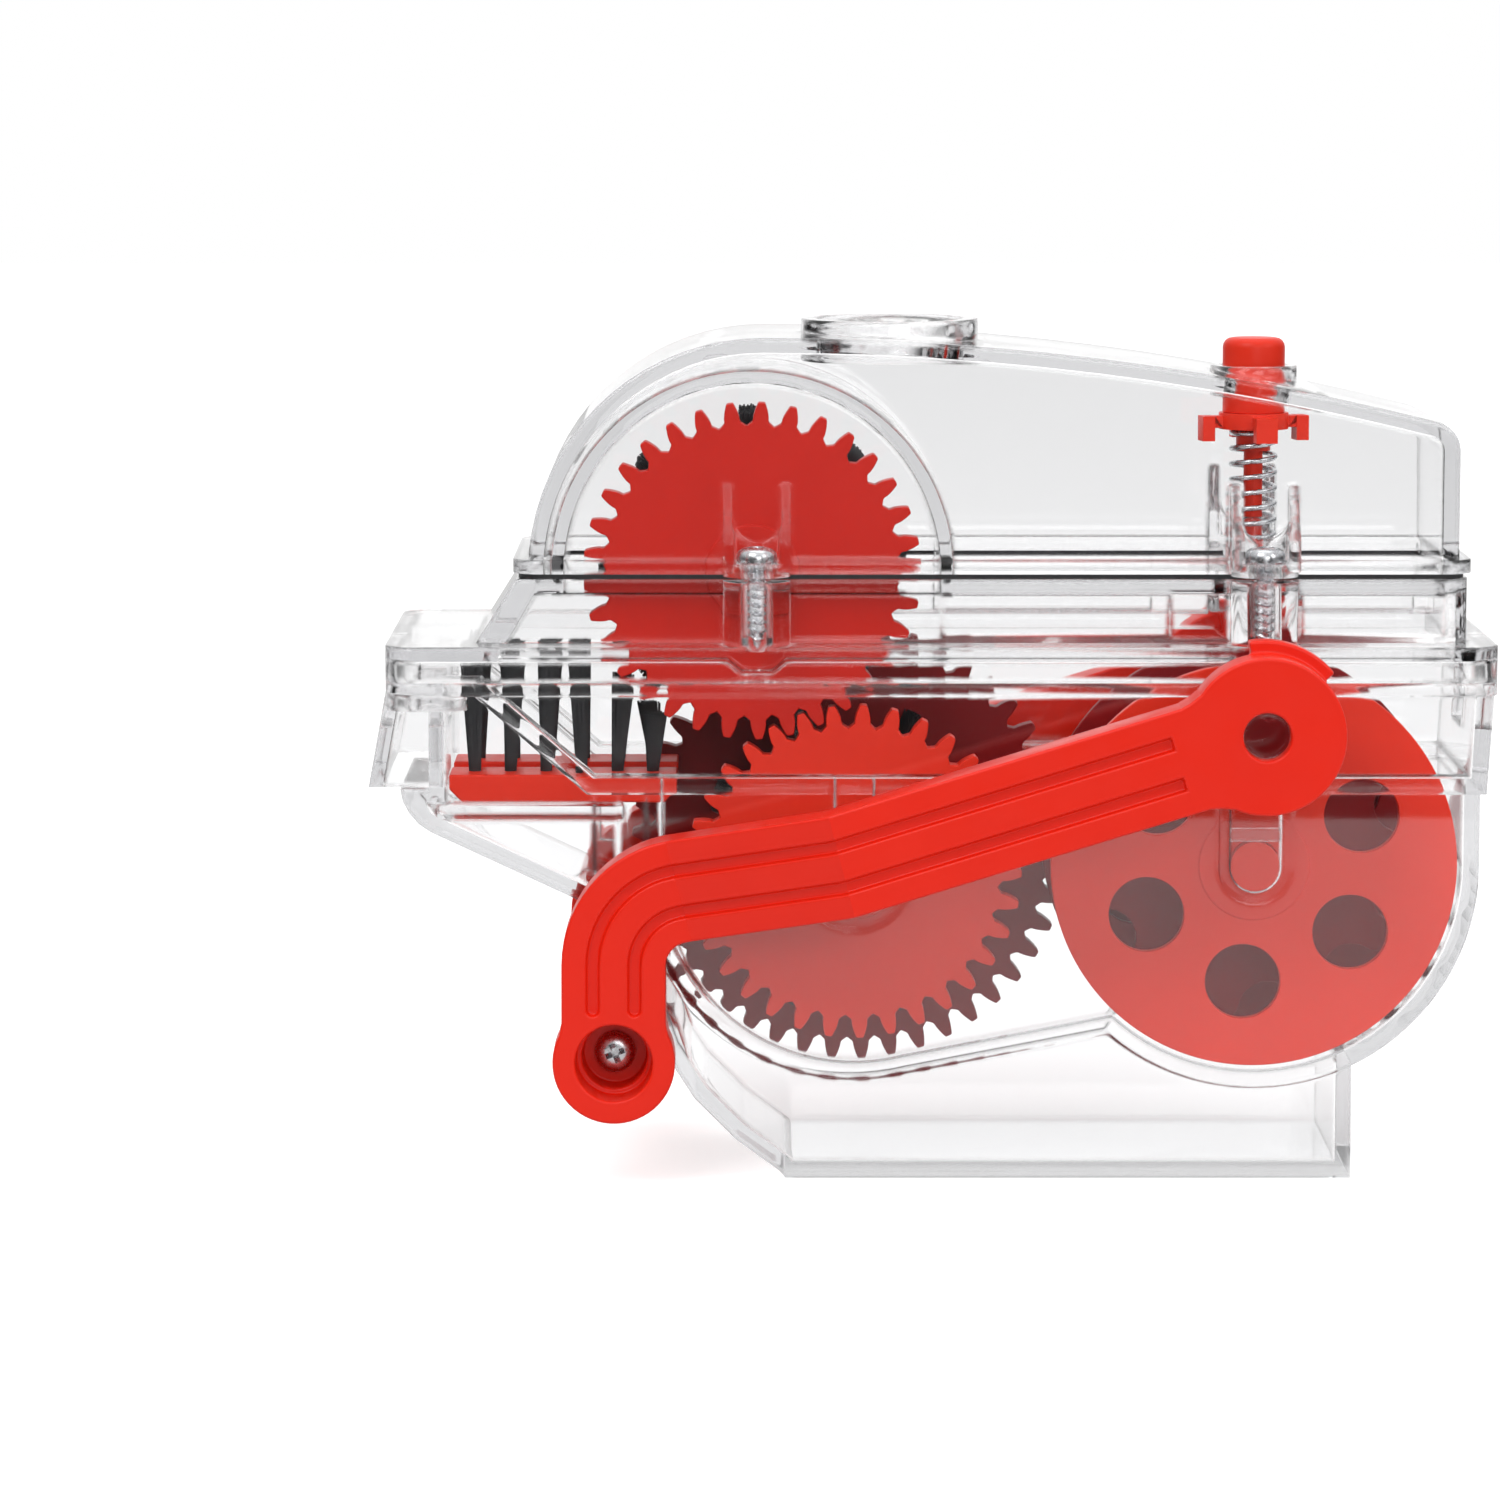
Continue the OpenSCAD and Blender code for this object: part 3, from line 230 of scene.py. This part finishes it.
clear = clear_plastic("clear_plastic", CLEAR_TINT, 0.015)
gear_red = moulded_plastic("gear_red", RED, RED_SHADE, 0.38, 0.22)
# Painted shade: a darker copy of the gear red for the upper gear
upper_gear_painted_shade = moulded_plastic("upper_gear_painted_shade", UPPER_GEAR_SHADED_RED, UPPER_GEAR_SHADED_CLOUD, 0.38, 0.2)
# Painted shade: a much darker copy of the gear red for the parts that sit behind, in shade
deep_red = moulded_plastic("deep_red", REAR_SHADED_RED, REAR_SHADED_CLOUD, 0.4, 0.2)
handle_red = moulded_plastic("handle_red", ORANGE_RED, ORANGE_SHADE, 0.36, 0.22, coat=0.08)
bristle_black = speckled("bristle_black", NYLON_TONES, (1500.0,), (0.3, 0.5), (700.0,))
seal_black = speckled("seal_black", RUBBER_TONES, (300.0,), (0.45, 0.65), (900.0,),
                      skin=(2500.0, 0.2, 0.03 * MM))
steel = speckled("plated_steel", STEEL_TONES, (900.0, 5.0), (0.16, 0.34), (1400.0, 4.0),
                 skin=(3000.0, 0.12, 0.02 * MM), metallic=1.0)

FINISHES = {
    "lower_body": clear, "upper_body": clear, "top_cover": clear,
    "wheel_axle_keepers": clear, "brush_axle_keepers": clear,
    "inlet_brush_base": gear_red,
    "cover_gasket": seal_black, "valve_seal": seal_black,
    "plunger": gear_red, "plunger_collar": gear_red,
    # The upper gear's darker red is painted shade
    "upper_gear": upper_gear_painted_shade, "lower_front_gear": gear_red, "wheel_front_disc": gear_red,
    # The dark red of the rear gear, rear disc, wheel gear, brush cores and sprocket is painted
    # shade
    "lower_rear_gear": deep_red, "wheel_rear_disc": deep_red, "wheel_gear": deep_red,
    "upper_brush_core": deep_red, "lower_brush_core": deep_red, "wheel_sprocket": deep_red,
    "upper_axle": gear_red, "lower_axle": gear_red, "wheel_axle": gear_red,
    "handle_front_arm": handle_red, "handle_rear_arm": handle_red, "handle_grip": handle_red,
    "cover_screws": steel, "grip_screws": steel, "plunger_spring": steel,
    "inlet_bristles": bristle_black,
    "upper_bristles": bristle_black, "lower_bristles": bristle_black,
}

for name, material in FINISHES.items():
    for slot in NODES[name].material_slots:
        slot.material = material


# Rounded edges on the moulded pieces, in millimetres
ROUNDING = {
    "lower_body": 0.45, "upper_body": 0.45, "top_cover": 0.45,
    "inlet_brush_base": 0.3, "plunger": 0.2, "plunger_collar": 0.2,
    "upper_gear": 0.18, "lower_front_gear": 0.18, "lower_rear_gear": 0.18, "wheel_gear": 0.18,
    "wheel_front_disc": 0.25, "wheel_rear_disc": 0.25, "wheel_sprocket": 0.2,
    "handle_front_arm": 0.7, "handle_rear_arm": 0.7, "handle_grip": 0.4,
}
WELD_GAP = 0.1
FLAT_WITHIN = math.radians(0.5)
EDGE_FROM = math.radians(32)


def round_edges(piece, width):
    """Joins the flat faces, then bevels what is left of the sharp edges."""
    weld = piece.modifiers.new("weld", "WELD")
    weld.merge_threshold = WELD_GAP * MM
    flat = piece.modifiers.new("merge_flat_faces", "DECIMATE")
    flat.decimate_type = "DISSOLVE"
    flat.angle_limit = FLAT_WITHIN
    bevel = piece.modifiers.new("rounded_edges", "BEVEL")
    bevel.width = width * MM
    bevel.segments = 3
    bevel.limit_method = "ANGLE"
    bevel.angle_limit = EDGE_FROM
    bevel.use_clamp_overlap = True
    bevel.harden_normals = True


for name, width in ROUNDING.items():
    round_edges(NODES[name], width)


# Pieces that replace plain CAD forms
def link_piece(name, mesh, material, node):
    """Puts a mesh in the scene as the piece that stands for a CAD node."""
    mesh.materials.append(material)
    piece = bpy.data.objects.new(name, mesh)
    SCENE.collection.objects.link(piece)
    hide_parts(node)
    return piece


def mesh_of(name, verts, faces):
    """A mesh from points in millimetres."""
    mesh = bpy.data.meshes.new(name)
    mesh.from_pydata([Vector(v) * MM for v in verts], [], faces)
    mesh.update()
    return mesh


STRAND_SIDES = 3


def add_strand(verts, faces, start, end, radius, tip_radius, side):
    """A three-sided strand of nylon from start to end."""
    along = (end - start).normalized()
    out = along.cross(side).normalized()
    other = along.cross(out)
    first = len(verts)
    tip = first + STRAND_SIDES
    for centre, r in ((start, radius), (end, tip_radius)):
        for k in range(STRAND_SIDES):
            a = 2 * math.pi * k / STRAND_SIDES
            verts.append(centre + r * (math.cos(a) * out + math.sin(a) * other))
    for k in range(STRAND_SIDES):
        n = (k + 1) % STRAND_SIDES
        faces.append((first + k, first + n, tip + n, tip + k))
    faces.append(tuple(reversed(range(tip, tip + STRAND_SIDES))))
    faces.append(tuple(range(first, tip)))


GOLDEN_ANGLE = 2.399963
ANGLE_DRIFT = 0.2


def disc_points(count, rng):
    """Evenly spread points in a unit disc, a little disturbed."""
    for i in range(count):
        r = math.sqrt((i + 0.5) / count)
        a = i * GOLDEN_ANGLE + rng.uniform(-ANGLE_DRIFT, ANGLE_DRIFT)
        yield r * math.cos(a), r * math.sin(a)


# Axles of the brushes in the x and z plane, and the brushes' sizes, in millimetres
LOWER = (-29.1408, 41.8)
UPPER = (-42.8879, 82.6488)
DRUM_R = 9.0
TIP_R = 21.0
BAND_HALF = 10.3
TUFT_ROWS = 8
ROW_TUFTS = 9
TUFT_STRANDS = 30
TUFT_FOOT_R = 0.95
TUFT_TIP_R = 1.45
TUFT_SINK = 0.2
TUFT_INSET = 1.5
STRAND_RADII = (0.15, 0.13)


def brush(name, centre, phase, node, body, seed):
    """Eight rows of tufts round a drum."""
    rng = random.Random(seed)
    verts, faces = [], []
    middle = Vector((centre[0], 0, centre[1]))
    for row in range(TUFT_ROWS):
        a = math.radians(phase + 360 / TUFT_ROWS * row)
        out = Vector((math.cos(a), 0, math.sin(a)))
        side = Vector((-math.sin(a), 0, math.cos(a)))
        for k in range(ROW_TUFTS):
            y = (k / (ROW_TUFTS - 1) - 0.5) * 2 * (BAND_HALF - TUFT_INSET)
            foot = middle + out * (DRUM_R - TUFT_SINK) + Vector((0, y, 0))
            for u, v in disc_points(TUFT_STRANDS, rng):
                start = foot + side * (TUFT_FOOT_R * u) + Vector((0, TUFT_FOOT_R * v, 0))
                reach = TIP_R - rng.uniform(0, 0.5)
                tip_r = TUFT_TIP_R + rng.uniform(-0.1, 0.1)
                end = middle + Vector((0, y + tip_r * v, 0)) + side * (tip_r * u)
                end += out * math.sqrt(reach ** 2 - (tip_r * u) ** 2)
                add_strand(verts, faces, start, end, *STRAND_RADII, Vector((0.3, 1, 0.2)))
    mesh = mesh_of(name, verts, faces)
    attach(link_piece(name, mesh, bristle_black, node), body)


brush("upper_tufts", UPPER, 1.0, "upper_bristles", "upper_brush", 11)
brush("lower_tufts", LOWER, 20.0, "lower_bristles", "lower_brush", 12)

INLET_SEED = 13
INLET_TUFTS = 6
INLET_STRANDS = 85
INLET_Y = 7.13
INLET_REACH = 16.1
INLET_SINK = 0.4
INLET_FOOT_R = 0.72
INLET_TIP_R = 1.45
INLET_TIP_SPREAD = (-0.25, 0.3)
INLET_LEAN = 0.9
INLET_UNEVEN = 0.07
INLET_STRAND_RADII = (0.13, 0.12)
BLOCK_LEFT = -84.1
BLOCK_RIGHT = -53.0908
BLOCK_TOP = 54.6
TUFT_PITCH = (BLOCK_RIGHT - BLOCK_LEFT) / 6.4
FIRST_TUFT = 0.7
BRUSH_CLEARANCE = TIP_R + 2.2
TUFT_HALF = 1.6


def inlet_tufts():
    """Two rows of six tufts, narrow at the block and wide at their tips."""
    rng = random.Random(INLET_SEED)
    verts, faces = [], []
    for side_y in (-INLET_Y, INLET_Y):
        for i in range(INLET_TUFTS):
            x = BLOCK_LEFT + (i + FIRST_TUFT) * TUFT_PITCH
            reach = INLET_REACH
            gap = abs(x + TUFT_HALF - UPPER[0])
            if gap < BRUSH_CLEARANCE:
                brush_low = UPPER[1] - math.sqrt(BRUSH_CLEARANCE ** 2 - gap ** 2)
                reach = min(reach, brush_low - BLOCK_TOP)
            lean = rng.uniform(-INLET_LEAN, INLET_LEAN)
            for u, v in disc_points(INLET_STRANDS, rng):
                start = Vector((x + INLET_FOOT_R * u, side_y + INLET_FOOT_R * v,
                                BLOCK_TOP - INLET_SINK))
                tip_r = INLET_TIP_R + rng.uniform(*INLET_TIP_SPREAD)
                top = BLOCK_TOP + reach * (1 - INLET_UNEVEN * rng.random())
                end = Vector((x + lean + tip_r * u, side_y + tip_r * v, top))
                add_strand(verts, faces, start, end, *INLET_STRAND_RADII, Vector((1, 0.2, 0)))
    mesh = mesh_of("inlet_tufts", verts, faces)
    piece = link_piece("inlet_tufts", mesh, bristle_black, "inlet_bristles")
    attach(piece, "reservoir")


inlet_tufts()

VALVE_X = 25.6
SPRING_LOW = 84.95
SPRING_HIGH = 100.74
SPRING_TURNS = 8.0
COIL_R = 2.975
WIRE_R = 0.375
TURN_STEPS = 28
WIRE_SIDES = 10
CLOSED_SHARE = 0.06
CLOSED_RISE = 0.035


def valve_spring():
    """A compression spring with closed end turns."""
    rows = int(SPRING_TURNS * TURN_STEPS)
    verts, faces = [], []
    for i in range(rows + 1):
        t = i / rows
        rise = min(max((t - CLOSED_SHARE) / (1 - 2 * CLOSED_SHARE), 0.0), 1.0)
        rise = CLOSED_RISE * t + (1 - CLOSED_RISE) * rise
        z = SPRING_LOW + WIRE_R + rise * (SPRING_HIGH - SPRING_LOW - 2 * WIRE_R)
        a = 2 * math.pi * SPRING_TURNS * t
        out = Vector((math.cos(a), math.sin(a), 0))
        for k in range(WIRE_SIDES):
            b = 2 * math.pi * k / WIRE_SIDES
            verts.append(Vector((VALVE_X, 0, z)) + out * (COIL_R + WIRE_R * math.cos(b))
                         + Vector((0, 0, WIRE_R * math.sin(b))))
    for i in range(rows):
        here, above = i * WIRE_SIDES, (i + 1) * WIRE_SIDES
        for k in range(WIRE_SIDES):
            n = (k + 1) % WIRE_SIDES
            faces.append((here + k, here + n, above + n, above + k))
    faces.append(tuple(range(WIRE_SIDES)))
    faces.append(tuple(rows * WIRE_SIDES + k for k in reversed(range(WIRE_SIDES))))
    mesh = mesh_of("valve_spring", verts, faces)
    mesh.shade_smooth()
    piece = link_piece("valve_spring", mesh, steel, "plunger_spring")
    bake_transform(piece)


valve_spring()

# Screws, in millimetres: the head's profile gives radii and heights as shares of the head's
HEAD_R = 2.75
HEAD_H = 2.09
HEAD_EDGE = 0.12
HEAD_PROFILE = [(1.0, 0.36), (0.97, 0.55), (0.88, 0.76), (0.7, 0.92), (0.45, 0.985), (0.2, 1.0)]
SEAT_SHARE = 0.96
THREAD_R = 1.48
CORE_R = 1.1
POINT_R = 0.12
POINT_L = 2.2
POINT_POWER = 0.7
THREAD_PITCH = 1.1
PITCH_STEPS = 10
THREAD_START = 0.9
RIDGE_HALF = 0.24
SCREW_SIDES = 32
RECESS_TOP = (0.3, 1.55, 0.42)
RECESS_FLOOR = (-1.35, 0.55, 0.3)
SMOOTH_BELOW = math.radians(35)


def solid_mesh(name, bm):
    """Turns a closed bmesh into a mesh with its faces turned outward."""
    bmesh.ops.recalc_face_normals(bm, faces=bm.faces)
    mesh = bpy.data.meshes.new(name)
    bm.to_mesh(mesh)
    bm.free()
    return mesh


def thread_ring(length, z):
    """Radii round the shank at a height, with a running thread that fades at both ends."""
    room = min(1.0, (length + z) / POINT_L)
    core = max(POINT_R, CORE_R * room ** POINT_POWER)
    ridge = (THREAD_R - CORE_R) * min(1.0, room ** POINT_POWER) * min(1.0, -z / THREAD_START)
    for k in range(SCREW_SIDES):
        f = (z / THREAD_PITCH + k / SCREW_SIDES) % 1.0
        yield core + ridge * max(0.0, 1 - abs(f - 0.5) / RIDGE_HALF), z


def screw_mesh(length):
    """A pan-head screw with its seat at z 0 and a running thread down to its point."""
    profile = [(HEAD_R * SEAT_SHARE, 0.0), (HEAD_R, HEAD_EDGE)]
    profile += [(HEAD_R * r, HEAD_H * z) for r, z in HEAD_PROFILE]
    rings = [[point] * SCREW_SIDES for point in reversed(profile)]
    steps = int(length / THREAD_PITCH * PITCH_STEPS)
    rings += [list(thread_ring(length, -length * j / steps)) for j in range(steps + 1)]
    turns = [2 * math.pi * k / SCREW_SIDES for k in range(SCREW_SIDES)]
    bm = bmesh.new()
    rows = [[bm.verts.new((r * math.cos(a), r * math.sin(a), z)) for a, (r, z) in zip(turns, ring)]
            for ring in rings]
    for above, below in zip(rows, rows[1:]):
        for k in range(SCREW_SIDES):
            n = (k + 1) % SCREW_SIDES
            bm.faces.new((above[k], below[k], below[n], above[n]))
    bm.faces.new(rows[0])
    bm.faces.new(list(reversed(rows[-1])))
    return cut_recess(solid_mesh("screw", bm))


def cut_recess(mesh):
    """Cuts the cross recess into a screw's head."""
    bm = bmesh.new()
    for turn in (0, 90):
        spin = Matrix.Rotation(math.radians(turn), 3, "Z")
        corners = []
        for above_head, half_l, half_w in (RECESS_TOP, RECESS_FLOOR):
            outline = ((-half_l, -half_w), (half_l, -half_w), (half_l, half_w), (-half_l, half_w))
            corners.append([bm.verts.new(spin @ Vector((x, y, HEAD_H + above_head)))
                            for x, y in outline])
        top, low = corners
        bm.faces.new(top)
        bm.faces.new(list(reversed(low)))
        for k in range(4):
            n = (k + 1) % 4
            bm.faces.new((top[n], top[k], low[k], low[n]))
    cutter = bpy.data.objects.new("recess", solid_mesh("recess", bm))
    blank = bpy.data.objects.new("screw_blank", mesh)
    for piece in (cutter, blank):
        SCENE.collection.objects.link(piece)
    carve = blank.modifiers.new("recess", "BOOLEAN")
    carve.operation = "DIFFERENCE"
    carve.solver = "EXACT"
    carve.use_self = True
    carve.object = cutter
    view = bpy.context.evaluated_depsgraph_get()
    result = bpy.data.meshes.new_from_object(blank.evaluated_get(view))
    for piece in (cutter, blank):
        bpy.data.objects.remove(piece)
    return result


def screw_set(name, length, places, node, body):
    """Copies of one screw, each placed by a matrix in millimetres, as one piece."""
    screw = screw_mesh(length)
    bm = bmesh.new()
    for place in places:
        copy = screw.copy()
        copy.transform(place)
        bm.from_mesh(copy)
    mesh = bpy.data.meshes.new(name)
    bm.to_mesh(mesh)
    bm.free()
    mesh.transform(Matrix.Scale(MM, 4))
    mesh.shade_smooth()
    mesh.set_sharp_from_angle(angle=SMOOTH_BELOW)
    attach(link_piece(name, mesh, steel, node), body)


COVER_SCREW_L = 11.6
REAR_SCREW_X = -42.3
SEAT_Z = 84.4
SCREW_Y = 21.5
COVER_SCREWS = [
    (REAR_SCREW_X, -SCREW_Y, 0.4), (VALVE_X, -SCREW_Y, 1.1),
    (REAR_SCREW_X, SCREW_Y, 0.9), (VALVE_X, SCREW_Y, 0.2),
]
screw_set("cover_screw_set", COVER_SCREW_L,
          [Matrix.Translation((x, y, SEAT_Z)) @ Matrix.Rotation(turn, 4, "Z")
           for x, y, turn in COVER_SCREWS],
          "cover_screws", "top")

GRIP_SCREW_L = 8.975
GRIP_SCREW_TURN = 0.35
GRIP = (-61.5, 17.3)
GRIP_SEAT_Y = 26.2 - 10.15
screw_set("grip_screw_set", GRIP_SCREW_L,
          [Matrix.Translation((GRIP[0], side * GRIP_SEAT_Y, GRIP[1]))
           @ Matrix.Rotation(math.radians(90) * -side, 4, "X")
           @ Matrix.Rotation(GRIP_SCREW_TURN, 4, "Z") for side in (-1, 1)],
          "grip_screws", "handle")


# Floor, backdrop and light
FLOOR_HALF = (0.7, 1.6)
FLOOR_MIDDLE = (0, 1.22)
FLOOR_TONE = 0.70
FLOOR_LIFT = 0.6
FLOOR_LIFT_THROUGH_CLEAR = 0.34
WHITE = (1, 1, 1, 1)

floor_material, floor_tree = new_material("pale_floor")
floor_path = add_node(floor_tree, "ShaderNodeLightPath").outputs
seen_through = add_node(floor_tree, "ShaderNodeMath", {
    0: floor_path["Is Transmission Ray"], 1: FLOOR_LIFT_THROUGH_CLEAR,
}, operation="MULTIPLY").outputs[0]
floor_lift = add_node(floor_tree, "ShaderNodeMath", {
    0: floor_path["Is Camera Ray"], 1: FLOOR_LIFT, 2: seen_through,
}, operation="MULTIPLY_ADD").outputs[0]
floor_shader = add_node(floor_tree, "ShaderNodeBsdfPrincipled", {
    "Base Color": (FLOOR_TONE, FLOOR_TONE, FLOOR_TONE, 1),
    "Roughness": 0.85,
    "Specular IOR Level": 0.1,
    "Emission Color": WHITE,
    "Emission Strength": floor_lift,
})
output(floor_tree, floor_shader.outputs["BSDF"])

floor_corners = [
    (FLOOR_MIDDLE[0] + x * FLOOR_HALF[0], FLOOR_MIDDLE[1] + y * FLOOR_HALF[1], 0)
    for x, y in ((-1, -1), (1, -1), (1, 1), (-1, 1))
]
floor_mesh = bpy.data.meshes.new("floor")
floor_mesh.from_pydata(floor_corners, [], [(0, 1, 2, 3)])
floor_mesh.materials.append(floor_material)
floor = bpy.data.objects.new("floor", floor_mesh)
SCENE.collection.objects.link(floor)

# The sky that lights the object: dark below, light above, and bright behind the object
FRONT_HEIGHTS = (0.05, 0.7)
FRONT_TONES = (0.06, 1.0)
BACK_DEPTHS = (0.7, 0.95)
BACK_TONE = 1.1

world = bpy.data.worlds.new("studio")
SCENE.world = world
world.use_nodes = True
sky = world.node_tree
sky.nodes.clear()
direction = add_node(sky, "ShaderNodeSeparateXYZ", {
    "Vector": add_node(sky, "ShaderNodeTexCoord").outputs["Generated"],
})
front_tone = map_range(sky, direction.outputs["Z"], FRONT_HEIGHTS, FRONT_TONES)
back_share = map_range(sky, direction.outputs["Y"], BACK_DEPTHS, (0.0, 1.0))
tone = add_node(sky, "ShaderNodeMix", {
    "Factor": back_share, "A": front_tone, "B": BACK_TONE,
}).outputs["Result"]
glow = add_node(sky, "ShaderNodeBackground", {"Color": WHITE, "Strength": tone})
white = add_node(sky, "ShaderNodeBackground", {"Color": WHITE, "Strength": 1.0})
seen = add_node(sky, "ShaderNodeLightPath").outputs["Is Camera Ray"]
add_node(sky, "ShaderNodeOutputWorld", {
    "Surface": mix_shaders(sky, seen, glow.outputs["Background"], white.outputs["Background"]),
})


LIT_MIDDLE = Vector((-0.02, 0, 0.055))


def soft_light(name, place, size, power):
    """A rectangular lamp that points at the middle of the object."""
    data = bpy.data.lights.new(name, "AREA")
    data.shape = "RECTANGLE"
    data.size, data.size_y = size
    data.energy = power
    lamp = bpy.data.objects.new(name, data)
    SCENE.collection.objects.link(lamp)
    lamp.location = place
    lamp.rotation_euler = (LIT_MIDDLE - Vector(place)).to_track_quat("-Z", "Y").to_euler()


soft_light("key", (-0.5, -0.75, 0.95), (0.5, 0.5), 4.3)
soft_light("fill", (0.8, -0.6, 0.6), (0.6, 0.6), 2.2)
soft_light("front", (0.2, -1.2, 0.4), (0.5, 0.4), 2.4)
soft_light("top", (0.0, 0.1, 1.1), (0.9, 0.6), 2.0)

SCENE.view_settings.view_transform = "Standard"
SCENE.view_settings.look = "None"
SCENE.cycles.max_bounces = 32
SCENE.cycles.transmission_bounces = 32
SCENE.cycles.transparent_max_bounces = 48
SCENE.cycles.glossy_bounces = 8
SCENE.cycles.diffuse_bounces = 4
SCENE.cycles.caustics_reflective = False
